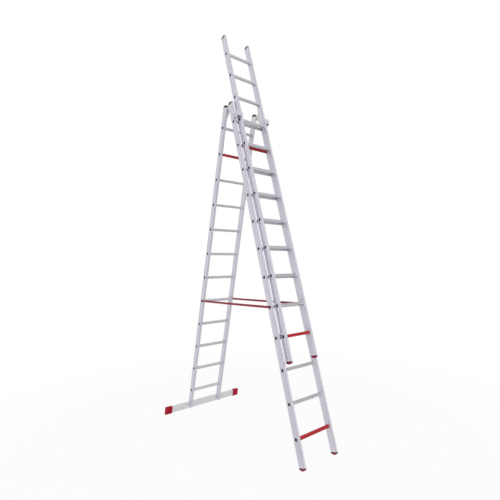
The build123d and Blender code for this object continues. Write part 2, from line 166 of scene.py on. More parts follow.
def newSurface(name, **sockets):
    material = bpy.data.materials.new(name)
    material.use_nodes = True
    shader = material.node_tree.nodes["Principled BSDF"]
    for socket, value in sockets.items():
        shader.inputs[socket.replace("_", " ")].default_value = value
    return material, material.node_tree, shader


def addNode(tree, kind, values=None, links=None, **settings):
    made = tree.nodes.new("ShaderNode" + kind)
    for key, value in settings.items():
        setattr(made, key, value)
    for key, value in (values or {}).items():
        made.inputs[key].default_value = value
    for key, source in (links or {}).items():
        tree.links.new(source, made.inputs[key])
    return made


def noise(tree, place, stretch, turn=(0, 0, 0), detail=2.0, roughness=0.5, seed=0.0):
    # noise with a different number of grains per metre along each axis of the turned frame
    turned = addNode(tree, "Mapping", {"Rotation": turn}, {"Vector": place})
    scaled = addNode(tree, "Mapping", {"Scale": stretch, "Location": (seed, seed * 1.7, seed * 0.6)},
                     {"Vector": turned.outputs["Vector"]})
    grain = addNode(tree, "TexNoise", {"Scale": 1.0, "Detail": detail, "Roughness": roughness},
                    {"Vector": scaled.outputs["Vector"]})
    return grain.outputs["Fac"]


def remap(tree, value, low, high, newLow=0.0, newHigh=1.0):
    made = addNode(tree, "MapRange", {"From Min": low, "From Max": high, "To Min": newLow, "To Max": newHigh},
                   {"Value": value})
    return made.outputs["Result"]


def maths(tree, operation, first, second):
    made = addNode(tree, "Math", operation=operation)
    for socket, value in zip(made.inputs, (first, second)):
        if isinstance(value, (int, float)):
            socket.default_value = value
        else:
            tree.links.new(value, socket)
    return made.outputs["Value"]


def mixColour(tree, share, first, second):
    made = addNode(tree, "Mix", data_type="RGBA")
    tree.links.new(share, made.inputs[0])
    for socket, value in ((made.inputs[6], first), (made.inputs[7], second)):
        if isinstance(value, (tuple, list)):
            socket.default_value = (*value, 1.0)
        else:
            tree.links.new(value, socket)
    return made.outputs[2]


def bump(tree, height, distance, strength=1.0, under=None):
    made = addNode(tree, "Bump", {"Distance": distance, "Strength": strength}, {"Height": height})
    if under is not None:
        tree.links.new(under, made.inputs["Normal"])
    return made.outputs["Normal"]


drawnAluminium = {
    "metallic": 0.82,
    "paleColour": (0.69, 0.675, 0.745),
    "darkColour": (0.53, 0.515, 0.58),
    # grime of handling marks, also the colour of painted shade in rib grooves and of darker upward faces
    "grimeAndShadeColour": (0.33, 0.32, 0.34),
    "roughness": (0.34, 0.50),
    "fineLines": 1400.0,        # die lines per metre across the grain
    "broadLines": 95.0,
    "lineDepth": 0.05 * mm,
    "scratchShare": 0.73,       # higher leaves fewer scratches
    "cornerShadeTone": 0.0,          # how much painted shade darkens the rounded corners of a stile
    "cornerShadeColour": (0.15, 0.145, 0.16),
    "upwardDarkTone": 0.0,           # how much darker the faces turned upwards are
}


def drawnMetal(name, look, grainAxis, turn, withGrooveShade=False):
    # noise pulled out along the grain for die lines, slow cloud noise for handling marks, sparse slanting
    # scratches; painted shade darkens rib grooves and rounded corners, and faces turned upwards are darker
    material, tree, shader = newSurface(name, Metallic=look["metallic"])
    place = addNode(tree, "TexCoord").outputs["Object"]
    along = {"x": (0.004, 1, 1), "z": (1, 1, 0.004)}[grainAxis]
    fine = noise(tree, place, tuple(look["fineLines"] * a for a in along), turn, 3.0, 0.6)
    broad = noise(tree, place, tuple(look["broadLines"] * a for a in along), turn, 2.0, 0.5, 3.1)
    cloud = noise(tree, place, (7, 7, 3), turn, 4.0, 0.6, 5.3)
    speck = noise(tree, place, (160, 160, 160), turn, 3.0, 0.7, 8.9)
    slant = noise(tree, place, (260, 9, 40), (0.5, 0.9, 0.7), 1.0, 0.4, 1.3)
    scratch = remap(tree, slant, look["scratchShare"], look["scratchShare"] + 0.02)
    tone = maths(tree, "ADD", maths(tree, "MULTIPLY", remap(tree, broad, 0.3, 0.7), 0.65),
                 maths(tree, "MULTIPLY", remap(tree, fine, 0.3, 0.7), 0.35))
    colour = mixColour(tree, tone, look["darkColour"], look["paleColour"])
    marksAndShade = maths(tree, "MULTIPLY", remap(tree, cloud, 0.52, 0.75), remap(tree, speck, 0.35, 0.75, 0.0, 0.35))
    # painted shade: rib grooves darken towards the grime colour by their depth
    if withGrooveShade:
        grooves = addNode(tree, "Attribute", attribute_name="shade").outputs["Fac"]
        marksAndShade = maths(tree, "MAXIMUM", marksAndShade, maths(tree, "MULTIPLY", grooves, 0.55))
    colour = mixColour(tree, marksAndShade, colour, look["grimeAndShadeColour"])
    # painted shade: the rounded corners are darkened and lose their metal
    if look["cornerShadeTone"]:
        direction = addNode(tree, "TexCoord").outputs["Normal"]
        facing = addNode(tree, "VectorMath", links={0: direction}, operation="ABSOLUTE")
        facing = addNode(tree, "SeparateXYZ", links={"Vector": facing.outputs["Vector"]})
        across = facing.outputs["X"]
        corner = maths(tree, "MULTIPLY", across, maths(tree, "SUBTRACT", 1.0, across))
        corner = remap(tree, corner, 0.04, 0.16, 0.0, look["cornerShadeTone"])
        colour = mixColour(tree, corner, colour, look["cornerShadeColour"])
        metallic = maths(tree, "MULTIPLY", maths(tree, "SUBTRACT", 1.0, corner), look["metallic"])
        tree.links.new(metallic, shader.inputs["Metallic"])
    # faces turned upwards are darkened towards the grime colour
    if look["upwardDarkTone"]:
        direction = addNode(tree, "TexCoord").outputs["Normal"]
        upward = addNode(tree, "SeparateXYZ", links={"Vector": direction}).outputs["Z"]
        uneven = maths(tree, "ADD", upward, maths(tree, "MULTIPLY", speck, 0.2))
        upwardDark = remap(tree, uneven, 0.75, 1.0, 0.0, look["upwardDarkTone"])
        colour = mixColour(tree, upwardDark, colour, look["grimeAndShadeColour"])
    colour = mixColour(tree, maths(tree, "MULTIPLY", scratch, 0.4), colour, (0.8, 0.8, 0.82))
    low, high = look["roughness"]
    rough = maths(tree, "ADD", remap(tree, cloud, 0.3, 0.7, low, high), maths(tree, "MULTIPLY", fine, 0.06))
    lines = maths(tree, "SUBTRACT", fine, maths(tree, "MULTIPLY", scratch, 0.5))
    normal = bump(tree, lines, look["lineDepth"])
    tree.links.new(colour, shader.inputs["Base Color"])
    tree.links.new(rough, shader.inputs["Roughness"])
    tree.links.new(bump(tree, speck, 0.02 * mm, 0.5, normal), shader.inputs["Normal"])
    return material


redCoating = {
    "colour": (0.43, 0.008, 0.014),
    # painted shade in the rib valleys
    "valleyShadeColour": (0.22, 0.004, 0.008),
    "wornColour": (0.46, 0.06, 0.06),
    "roughness": (0.42, 0.58),
}


def coatedMetal(name, look, turn):
    # sprayed coating: orange-peel bump, painted shade in the rib valleys, scuffed paler where feet tread
    material, tree, shader = newSurface(name, Metallic=0.0, Coat_Weight=0.08, Coat_Roughness=0.35,
                                        Specular_IOR_Level=0.4)
    place = addNode(tree, "TexCoord").outputs["Object"]
    peel = noise(tree, place, (900, 900, 900), turn, 2.0, 0.5)
    cloud = noise(tree, place, (9, 30, 30), turn, 4.0, 0.65, 2.2)
    scuff = noise(tree, place, (70, 500, 500), turn, 3.0, 0.7, 6.1)
    valleyShade = addNode(tree, "Attribute", attribute_name="shade").outputs["Fac"]
    worn = maths(tree, "MULTIPLY", remap(tree, cloud, 0.5, 0.7), remap(tree, scuff, 0.5, 0.72, 0.0, 0.6))
    worn = maths(tree, "MULTIPLY", worn, maths(tree, "SUBTRACT", 1.0, valleyShade))
    # painted shade: the coating darkens with the depth of the rib valleys
    colour = mixColour(tree, maths(tree, "MULTIPLY", valleyShade, 0.8), look["colour"], look["valleyShadeColour"])
    colour = mixColour(tree, worn, colour, look["wornColour"])
    tree.links.new(colour, shader.inputs["Base Color"])
    tree.links.new(remap(tree, cloud, 0.3, 0.7, *look["roughness"]), shader.inputs["Roughness"])
    tree.links.new(bump(tree, peel, 0.03 * mm), shader.inputs["Normal"])
    return material


footLook = {
    "collarShadeColour": (0.050, 0.006, 0.020),
    "domeColour": (0.34, 0.010, 0.050),
    "dustColour": (0.34, 0.30, 0.30),
    "dustHeight": 10 * mm,
    "roughness": (0.38, 0.55),
    "dustShare": 0.75,
}
# painted shade: the head caps are a darker copy of the foot caps' plastic, standing in for the shade they sit
# in
shadedHeadLook = dict(footLook, collarShadeColour=(0.035, 0.003, 0.010), domeColour=(0.048, 0.003, 0.012))
shoeLook = {
    "collarShadeColour": (0.30, 0.002, 0.020),
    "domeColour": (0.38, 0.002, 0.025),
    "dustColour": (0.36, 0.31, 0.31),
    "dustHeight": 18 * mm,
    "roughness": (0.50, 0.66),
    "dustShare": 0.2,
}


def mouldedPlastic(name, look):
    # fine spark-eroded texture, flow clouds in the tone, dust gathered near the ground;
    # shade 0 is the collar, painted darker as shade, 1 the dome
    material, tree, shader = newSurface(name, Metallic=0.0, Specular_IOR_Level=0.2)
    place = addNode(tree, "TexCoord").outputs["Object"]
    texture = noise(tree, place, (1100, 1100, 1100), (0, 0, 0), 2.0, 0.6)
    cloud = noise(tree, place, (40, 40, 40), (0, 0, 0), 3.0, 0.6, 4.4)
    scuff = noise(tree, place, (420, 60, 420), (0.4, 0.3, 0.9), 2.0, 0.6, 7.7)
    shade = addNode(tree, "Attribute", attribute_name="shade").outputs["Fac"]
    # painted shade: the collar takes the darker collar colour
    colour = mixColour(tree, shade, look["collarShadeColour"], look["domeColour"])
    deep = addNode(tree, "HueSaturation", {"Value": 0.72}, {"Color": colour})
    colour = mixColour(tree, remap(tree, cloud, 0.35, 0.7), colour, deep.outputs["Color"])
    height = addNode(tree, "SeparateXYZ", links={"Vector": place}).outputs["Z"]
    low = remap(tree, height, 0.0, look["dustHeight"], look["dustShare"], 0.0)
    dust = maths(tree, "MULTIPLY", low, remap(tree, texture, 0.35, 0.65, 0.2, 1.0))
    dust = maths(tree, "MAXIMUM", dust, remap(tree, scuff, 0.66, 0.74, 0.0, 0.2))
    colour = mixColour(tree, dust, colour, look["dustColour"])
    clouded = remap(tree, cloud, 0.3, 0.7, *look["roughness"])
    rough = maths(tree, "ADD", clouded, maths(tree, "MULTIPLY", dust, 0.3))
    tree.links.new(colour, shader.inputs["Base Color"])
    tree.links.new(rough, shader.inputs["Roughness"])
    tree.links.new(bump(tree, texture, 0.05 * mm), shader.inputs["Normal"])
    return material


webbingLook = {
    "colour": (0.27, 0.006, 0.030),
    "shadowColour": (0.10, 0.002, 0.012),
    "threadColour": (0.36, 0.03, 0.07),
    "picksPerMetre": 620.0,     # weft threads along the strap
    "endsPerMetre": 760.0,      # warp threads across it
}


def wovenWebbing(name, look):
    # plain weave on the strap's own map, in metres: each cell stands up where warp and weft sines agree
    # in sign
    material, tree, shader = newSurface(name, Roughness=0.78, Sheen_Weight=0.35, Sheen_Roughness=0.4)
    place = addNode(tree, "UVMap", uv_map="cloth").outputs["UV"]
    split = addNode(tree, "SeparateXYZ", links={"Vector": place})
    ends = maths(tree, "MULTIPLY", split.outputs["Y"], math.pi * look["endsPerMetre"])
    picks = maths(tree, "MULTIPLY", split.outputs["X"], math.pi * look["picksPerMetre"])
    warp, weft = maths(tree, "SINE", ends, 0.0), maths(tree, "SINE", picks, 0.0)
    cell = maths(tree, "MULTIPLY", warp, weft)
    over = remap(tree, cell, -0.25, 0.25)
    ridge = maths(tree, "MAXIMUM", maths(tree, "ABSOLUTE", warp, 0.0), maths(tree, "MULTIPLY", over, 0.7))
    grain = addNode(tree, "TexNoise", {"Scale": 900.0, "Detail": 3.0}, {"Vector": place}).outputs["Fac"]
    fade = addNode(tree, "TexNoise", {"Scale": 24.0, "Detail": 3.0}, {"Vector": place}).outputs["Fac"]
    height = maths(tree, "ADD", ridge, maths(tree, "MULTIPLY", grain, 0.5))
    colour = mixColour(tree, remap(tree, height, 0.3, 1.3), look["shadowColour"], look["colour"])
    faded = maths(tree, "MULTIPLY", remap(tree, fade, 0.5, 0.75), 0.35)
    colour = mixColour(tree, faded, colour, look["threadColour"])
    tree.links.new(colour, shader.inputs["Base Color"])
    tree.links.new(bump(tree, height, 0.35 * mm), shader.inputs["Normal"])
    return material


zincLook = {
    "paleColour": (0.70, 0.70, 0.71),
    "darkColour": (0.54, 0.54, 0.56),
    "tintColour": (0.62, 0.61, 0.57),
    "roughness": (0.26, 0.46),
    "crystals": 160.0,          # crystal cells per metre
}
boltLook = dict(zincLook, crystals=700.0)
darkLook = dict(boltLook, paleColour=(0.10, 0.06, 0.08), darkColour=(0.05, 0.03, 0.04),
                tintColour=(0.12, 0.09, 0.10))


def zincPlate(name, look):
    # plated steel: crystal cells of slightly different tone, faint yellow passivation, dull spots
    material, tree, shader = newSurface(name, Metallic=0.95)
    place = addNode(tree, "TexCoord").outputs["Object"]
    cells = addNode(tree, "TexVoronoi", {"Scale": look["crystals"]}, {"Vector": place}).outputs["Color"]
    cells = addNode(tree, "SeparateXYZ", links={"Vector": cells}).outputs["X"]
    cloud = noise(tree, place, (30, 30, 30), (0, 0, 0), 4.0, 0.6, 1.9)
    fine = noise(tree, place, (900, 900, 900), (0, 0, 0), 2.0, 0.6, 2.9)
    clouded = maths(tree, "MULTIPLY", remap(tree, cloud, 0.3, 0.7), 0.55)
    tone = maths(tree, "ADD", maths(tree, "MULTIPLY", cells, 0.45), clouded)
    colour = mixColour(tree, tone, look["darkColour"], look["paleColour"])
    colour = mixColour(tree, remap(tree, cloud, 0.55, 0.8, 0.0, 0.5), colour, look["tintColour"])
    varied = remap(tree, cells, 0.0, 1.0, *look["roughness"])
    rough = maths(tree, "ADD", varied, maths(tree, "MULTIPLY", fine, 0.08))
    tree.links.new(colour, shader.inputs["Base Color"])
    tree.links.new(rough, shader.inputs["Roughness"])
    tree.links.new(bump(tree, fine, 0.02 * mm), shader.inputs["Normal"])
    return material


turns = {"middle": (lean, 0, 0), "extension": (lean, 0, 0), "rear": (-lean, 0, 0)}
# stiles carry painted shade on their rounded corners
stileAluminium = dict(drawnAluminium, cornerShadeTone=0.7)
stileMetal = {name: drawnMetal(f"{name}StileAluminium", stileAluminium, "z", turns[name])
              for name in sections}
rungAluminium = dict(drawnAluminium, paleColour=(0.66, 0.655, 0.69), darkColour=(0.46, 0.455, 0.49),
                     broadLines=160.0, upwardDarkTone=0.8)
# rungs carry painted shade in their rib grooves
rungMetal = {name: drawnMetal(f"{name}RungAluminium", rungAluminium, "x", turns[name], withGrooveShade=True)
             for name in sections}
# the bore is painted near black as the shade inside the tube
boreShadeAluminium = dict(drawnAluminium, paleColour=(0.10, 0.095, 0.11), darkColour=(0.05, 0.045, 0.06),
                     grimeAndShadeColour=(0.06, 0.055, 0.06), roughness=(0.55, 0.7))
boreShadeMetal = drawnMetal("rungBoreShade", boreShadeAluminium, "x", (0, 0, 0))
redMetal = {name: coatedMetal(f"{name}RungRed", redCoating, turns[name]) for name in sections}
barAluminium = dict(drawnAluminium, paleColour=(0.70, 0.70, 0.72), darkColour=(0.56, 0.56, 0.585))
barMetal = drawnMetal("barAluminium", barAluminium, "x", turns["rear"])
# painted shade: the guide brackets get a darker copy of the aluminium to damp how brightly they light up
bracketShadedAluminium = dict(drawnAluminium, broadLines=240.0, paleColour=(0.62, 0.605, 0.67),
                        darkColour=(0.48, 0.465, 0.53))
bracketShadedMetal = drawnMetal("bracketSheetShaded", bracketShadedAluminium, "z", turns["middle"])
shadedHeadPlastic = mouldedPlastic("headCapPlasticShaded", shadedHeadLook)
footPlastic = mouldedPlastic("footCapPlastic", footLook)
shoePlastic = mouldedPlastic("shoePlastic", shoeLook)
webbing = wovenWebbing("strapWebbing", webbingLook)
boltZinc = zincPlate("boltZinc", boltLook)
plateZinc = zincPlate("plateZinc", zincLook)
darkSteel = zincPlate("darkStrapBolt", darkLook)
print("materials ready")


def coverNode(node, metal):
    covered = frame["nodes"][node].data.materials
    covered.clear()
    covered.append(metal)


for name in sections:
    for _, side, _ in sides:
        coverNode(f"{name}_stile_{side}", stileMetal[name])
coverNode("stabiliser_bar", barMetal)


# rungs

rungShape = {
    "size": 28 * mm,
    "corner": 7 * mm,
    "wall": 1.6 * mm,
    "ribs": 7,                  # grip ribs on each face
    "grooveDepth": 0.55 * mm,
    "grooveRamp": 3 * mm,       # where the ribs fade in beside the bead
    "lip": 2 * mm,
    "lipThickness": 1.2 * mm,
    "beadThickness": 1.5 * mm,
    "soft": 0.35 * mm,          # rounding of the bead and the lip
    "redOnes": {"middle": (1, 11), "rear": (11,), "extension": (1,)},
}


def ribbedOutline(shape):
    # rounded square whose faces carry flat-topped ribs; returns points, normals and how deep in a groove
    # each is
    cell = np.array([0.0, 0.13, 0.26, 0.74, 0.87])
    depth = np.array([1.0, 0.5, 0.0, 0.0, 0.5])
    share = (np.arange(shape["ribs"])[:, None] + cell).ravel() / shape["ribs"]
    deep = np.tile(depth, shape["ribs"])
    share, deep = np.append(share, 1.0), np.append(deep, 1.0)
    reach = shape["size"] / 2 - shape["corner"]
    points, normals, groove = [], [], []
    for quarter in range(4):
        angle = quarter * np.pi / 2
        out, on = np.array([np.cos(angle), np.sin(angle)]), np.array([-np.sin(angle), np.cos(angle)])
        points.append(out * shape["size"] / 2 + ((2 * share - 1) * reach)[:, None] * on)
        normals.append(np.repeat(out[None], len(share), 0))
        groove.append(deep)
        turn = angle + np.linspace(0, np.pi / 2, 8)[1:-1]
        bend = np.stack([np.cos(turn), np.sin(turn)], 1)
        points.append((out + on) * reach + shape["corner"] * bend)
        normals.append(bend)
        groove.append(np.zeros(len(turn)))
    return np.concatenate(points), np.concatenate(normals), np.concatenate(groove)


def rungShell(shape, halfWidth):
    # the tube's wall drawn as one closed loop (along, out, rib share), from the middle of its outside
    # over the bead, through the stile, round the swaged lip and back down the bore, carried round the
    # ribbed outline
    outerFace = halfWidth - bandDepth
    innerFace = halfWidth - stileThickness + bandDepth
    mouth = outerFace + shape["lipThickness"]
    bead = innerFace - shape["beadThickness"]
    lip, wall, ramp, soft = shape["lip"], shape["wall"], shape["grooveRamp"], shape["soft"]
    half = np.array([
        (0.0, 0, 1), (bead * 0.35, 0, 1), (bead * 0.7, 0, 1), (bead - 2 * ramp, 0, 1), (bead - ramp, 0, 0),
        (bead - soft, 0, 0), (bead, soft, 0), (bead, lip - soft, 0), (bead + soft, lip, 0),
        (innerFace - soft, lip, 0), (innerFace, lip - soft, 0), (innerFace, 0, 0), (outerFace, 0, 0),
        (outerFace, lip - soft, 0), (outerFace + 0.5 * soft, lip, 0), (mouth - soft, lip, 0),
        (mouth, lip - 1.4 * soft, 0), (mouth, -0.2 * wall, 0), (mouth - soft, -0.6 * wall, 0),
        (mouth - 2.2 * soft, -0.9 * wall, 0), (mouth - 5 * soft, -wall, 0), (outerFace - 6 * mm, -wall, 0),
        (bead * 0.5, -wall, 0), (0.0, -wall, 0)])
    mirrored = half[-2:0:-1] * (-1, 1, 1)
    loop = np.concatenate([half, mirrored])
    outline, normal, groove = ribbedOutline(shape)
    out = loop[:, 1, None] - shape["grooveDepth"] * loop[:, 2, None] * groove
    cross = outline[None] + normal[None] * out[..., None]
    along = np.repeat(loop[:, :1], len(outline), 1)
    points = np.stack([along, cross[..., 0], cross[..., 1]], 2)
    return points, gridFaces(len(loop), len(outline), True, True), loop[:, 2, None] * groove


def finishEnds(rung, shape, section, centre):
    # bare metal from the stile's inner face outwards, and the bore painted near black as the shade inside the
    # tube; depth inside the tube's wall tells the bore
    rung.data.materials.append(rungMetal[section])
    rung.data.materials.append(boreShadeMetal)
    centres = np.zeros(len(rung.data.polygons) * 3, np.float32)
    rung.data.polygons.foreach_get("center", centres)
    local = np.abs((centres.reshape(-1, 3) - centre) @ sections[section]["axes"].T)
    outside = local[:, 0] > halfWidths[section] - stileThickness
    reach = shape["size"] / 2 - 0.75 * shape["wall"]
    cornerReach = reach - shape["corner"]
    toCorner = np.hypot(*np.maximum(local[:, 1:] - cornerReach, 0).T)
    boreShadeMask = (local[:, 1:].max(1) < reach) & (toCorner < shape["corner"])
    finish = np.where(boreShadeMask, 2, np.where(outside, 1, 0)).astype(np.int32)
    rung.data.polygons.foreach_set("material_index", finish)


for name in sections:
    points, quads, groove = rungShell(rungShape, halfWidths[name])
    for number in range(1, rungCount + 1):
        node = f"{name}_rung_{number:02d}"
        red = number in rungShape["redOnes"][name]
        placed = boxMiddle(node) + points @ sections[name]["axes"]
        metal = (redMetal if red else rungMetal)[name]
        rung = makePiece(f"{name}Rung{number:02d}", [(placed, quads, groove)], metal, sharpAngle=28)
        finishEnds(rung, rungShape, name, boxMiddle(node))
        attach(rung, bodies[name])
        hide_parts(node)
print("rungs ribbed")


# caps and feet

capShape = {
    "lip": 10 * mm,
    "dome": 14 * mm,
    "plug": 20 * mm,
    "corner": 4 * mm,
    "edge": 2.2 * mm,           # rounding between the side and the crown
    "parting": 0.5 * mm,        # step between collar and dome
    "treads": 9,
    "treadDepth": 0.9 * mm,
    "plugWall": (17.6, 60.8),   # plug's size across and along the stile, mm
}
stileTop = (rungCount - 1) * rungPitch + stileOverhang
stileFoot = -stileOverhang


def capShell(shape, treaded):
    # rings of the stile's outline drawn in step by step; height is the crown's arc at that depth less a
    # quarter-round at the rim, and for a foot less a row of shallow tread grooves across it
    width, depth, corner, edge = stileThickness, stileDepth, shape["corner"], shape["edge"]
    radius = (depth ** 2 / 4 + shape["dome"] ** 2) / (2 * shape["dome"])

    def ring(inset):
        return roundedOutline(width - 2 * inset, depth - 2 * inset, max(corner - inset, 0.0), 70, 5)

    def crown(y):
        return shape["lip"] + np.sqrt(radius ** 2 - y ** 2) - (radius - shape["dome"])

    rows, shade = [], []

    def add(outline, height, tone):
        rows.append(np.column_stack([outline, np.broadcast_to(height, len(outline))]))
        shade.append(np.full(len(outline), tone))

    plugX, plugY = (size * mm for size in shape["plugWall"])
    plug = roundedOutline(plugX, plugY, 2 * mm, 70, 5)
    tip = plug * (1 - 0.8 * mm / plugX)
    outer, step = ring(0.0), ring(shape["parting"])
    rise = np.minimum(crown(outer[:, 1]) - edge, shape["lip"] - 0.9 * mm)
    # tone 0 on the plug and the collar's side takes the collar's painted shade, 1 the dome
    add(tip * (0.001, 1.0), -shape["plug"], 0.0)
    add(tip, -shape["plug"], 0.0)
    add(plug, -shape["plug"] + 1.5 * mm, 0.0)
    add(plug, 0.0, 0.0)
    add(ring(0.5 * mm), 0.0, 0.0)
    add(ring(0.12 * mm), 0.15 * mm, 0.0)
    add(outer, 0.5 * mm, 0.0)
    add(outer, rise, 0.0)
    add(step, rise + 0.25 * mm, 0.35)
    add(step, rise + 0.7 * mm, 1.0)
    insets = np.concatenate([shape["parting"] + edge * (1 - np.cos(np.linspace(0, np.pi / 2, 6))),
                             np.linspace(edge + 1.4 * mm, width / 2, 7)])
    for inset in insets:
        outline = ring(inset)
        rim = np.clip(1 - (inset - shape["parting"]) / edge, 0, 1)
        height = crown(outline[:, 1]) - edge * (1 - np.sqrt(1 - rim ** 2))
        height = np.maximum(height, rise + 0.7 * mm)
        if treaded:
            wave = 0.5 + 0.5 * np.cos(2 * np.pi * shape["treads"] * (outline[:, 1] / depth + 0.5))
            height = height - shape["treadDepth"] * np.clip(2.4 * wave - 1.2, 0, 1) * (1 - rim) ** 0.5
        add(outline, height, 1.0)
    points = np.stack(rows)
    return points, gridFaces(len(points), points.shape[1], False, True), np.stack(shade)


def placeCap(shape, section, sign, foot):
    points, quads, shade = capShell(shape, foot)
    if foot:
        points = points * (1, -1, -1)
    points = points + (sign * (halfWidths[section] - stileThickness / 2), 0, stileFoot if foot else stileTop)
    placed = stand(points, section)
    placed[..., 2] = np.maximum(placed[..., 2], 0.0)    # the sole is worn flat on the ground
    return placed, quads, shade


capNodes = {"middle": "middle_caps_and_feet", "extension": "extension_caps", "rear": "rear_caps"}
for section, node in capNodes.items():
    for label, foot, plastic in (("Heads", False, shadedHeadPlastic), ("Feet", True, footPlastic)):
        if section == "rear" and foot:
            continue    # the stabiliser bar takes the place of the rear section's feet
        shells = [placeCap(capShape, section, sign, foot) for _, _, sign in sides]
        caps = makePiece(f"{section}{label}", shells, plastic, sharpAngle=40)
        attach(caps, bodies[section])
        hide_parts(node)
print("caps and feet moulded")


# shoes on the stabiliser bar

shoeShape = {
    "length": 80 * mm,
    "wall": 4 * mm,
    "lowRound": 16 * mm,
    "highRound": 6 * mm,
    "endRound": 5 * mm,
    "socketRound": 3 * mm,
    "socketEnd": 20 * mm,       # solid end beyond the socket
    "barDeep": 30 * mm,
    "barHigh": 72 * mm,
    "barTop": -160 * mm,        # station of the bar's upper face
    "grooves": (0.16, 0.24, 0.32),   # where the finger grooves run round it, as a share of its length
    "grooveDepth": 1.1 * mm,
    "treads": 8,
    "treadDepth": 1.6 * mm,
}


def unevenOutline(low, high, lowRound, highRound, perSide, perCorner):
    # rectangle in (depth, height) with its two lower corners on one radius and its two upper ones on another
    corners = (((high[0], high[1]), highRound, 0), ((low[0], high[1]), highRound, 1),
               ((low[0], low[1]), lowRound, 2), ((high[0], low[1]), lowRound, 3))
    points, normals, arcs = [], [], []
    for (x, z), radius, quarter in corners:
        angle = (quarter + np.linspace(0, 1, perCorner)) * np.pi / 2
        normal = np.stack([np.cos(angle), np.sin(angle)], 1)
        inward = np.array([1 if quarter in (1, 2) else -1, 1 if quarter in (2, 3) else -1])
        arcs.append((np.array([x, z]) + inward * radius + radius * normal, normal))
    for index, (arc, normal) in enumerate(arcs):
        following = arcs[(index + 1) % 4][0][0]
        share = np.linspace(0, 1, perSide + 2)[1:-1][:, None]
        points += [arc, arc[-1] + share * (following - arc[-1])]
        normals += [normal, np.repeat(normal[-1:], perSide, 0)]
    return np.concatenate(points), np.concatenate(normals)


def shoeShell(shape, side):
    # the bar's outline at the bottom of the socket, then out over the mouth, along the skin with its
    # grooves and treads, round the end and in to the middle of the end face
    rear = sections["rear"]
    low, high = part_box(f"stabiliser_shoe_{'left' if side < 0 else 'right'}")
    front = stileDepth / 2 - shape["barDeep"] - shape["wall"]
    back = stileDepth / 2 + shape["wall"]
    top = shape["barTop"] + shape["wall"]
    groundLevel = -rear["origin"][2]
    upZ, backZ = rear["axes"][2][2], rear["axes"][1][2]
    lowRound = shape["lowRound"]
    sole = (lowRound - 1 * mm + groundLevel - (front + lowRound) * backZ) / upZ - lowRound
    outline, normal = unevenOutline((front, sole), (back, top), lowRound, shape["highRound"], 14, 7)
    wall = shape["wall"]
    socket, _ = unevenOutline((front + wall, top - wall - shape["barHigh"]), (back - wall, top - wall),
                              shape["socketRound"], shape["socketRound"], 14, 7)
    outerX = max(abs(low[0]), abs(high[0]))
    mouthX = outerX - shape["length"]
    centre = np.array([(front + back) / 2, (sole + top) / 2])
    rows, shade = [], []

    def add(x, flat, tone):
        rows.append(np.column_stack([np.full(len(flat), x), flat]))
        shade.append(np.full(len(flat), tone))

    # tone 0 inside the socket, rising over the mouth, takes the collar's painted shade
    add(outerX - shape["socketEnd"], socket * 0.0 + centre, 0.0)
    add(outerX - shape["socketEnd"], socket, 0.0)
    add(mouthX + 0.8 * mm, socket, 0.0)
    add(mouthX, socket, 0.0)
    add(mouthX, outline - normal * 0.9 * mm, 0.2)
    add(mouthX + 0.25 * mm, outline - normal * 0.25 * mm, 0.4)
    add(mouthX + 0.9 * mm, outline, 0.6)
    bottom = np.clip((centre[1] - outline[:, 1] - 0.2 * (top - sole)) / (0.25 * (top - sole)), 0, 1)
    steps = np.linspace(1.5 * mm, shape["length"] - shape["endRound"] - 0.5 * mm, 110)
    for step in steps:
        share = step / shape["length"]
        dip = sum(np.exp(-((share - g) * shape["length"] / (0.9 * mm)) ** 2) for g in shape["grooves"])
        tread = np.clip(1.6 * np.cos(2 * np.pi * shape["treads"] * share) - 0.6, 0, 1) * shape["treadDepth"]
        inward = shape["grooveDepth"] * dip * (1 - bottom) + tread * bottom
        add(mouthX + step, outline - normal * inward[:, None], 1.0)
    for turn in np.linspace(0, np.pi / 2, 7):
        inset = shape["endRound"] * (1 - np.cos(turn))
        add(outerX - shape["endRound"] * (1 - np.sin(turn)), outline - normal * inset, 1.0)
    rim = outline - normal * shape["endRound"]
    dishedEnd = ((0.93, 0.0), (0.9, 0.25), (0.87, 0.9), (0.84, 1.0), (0.6, 1.0), (0.3, 1.0), (0.0, 1.0))
    for share, dip in dishedEnd:
        add(outerX - dip * 1.2 * mm, centre + (rim - centre) * share, 1.0)
    points = np.stack(rows)
    points[..., 0] *= side
    placed = stand(points, "rear")
    placed[..., 2] = np.maximum(placed[..., 2], 0.0)
    return placed, gridFaces(len(points), points.shape[1], False, True), np.stack(shade)


for label, side, sign in sides:
    shoe = makePiece(f"stabiliserShoe{label}", [shoeShell(shoeShape, sign)], shoePlastic, sharpAngle=40)
    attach(shoe, "rear_section")
    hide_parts(f"stabiliser_shoe_{side}")
print("shoes moulded")


# bolts, nuts and rivets

def hexagonRows(start, end, across):
    # a hexagon with its corners cut back by a cone at both ends; the third number is its width over the flats
    cut, tip, cone, reach = 0.09 * across, across * 0.47, across * 0.5, across * 0.6
    return [(start, tip, 0), (start + 0.25 * cut, cone, across), (start + cut, reach, across),
            (end - cut, reach, across), (end - 0.25 * cut, cone, across), (end, tip, 0)]


def discRows(start, end, radius):
    soft = min(0.3 * mm, (end - start) / 4)
    return [(start, radius - soft, 0), (start + soft, radius, 0),
            (end - soft, radius, 0), (end, radius - soft, 0)]


def threadRows(start, end, radius):
    pitch = 1.0 * mm
    count = max(int((end - start) / pitch), 1)
    edges = np.linspace(start, end, 2 * count + 1)
    return [(x, radius - (0.45 * mm if index % 2 else 0.0), 0) for index, x in enumerate(edges)]


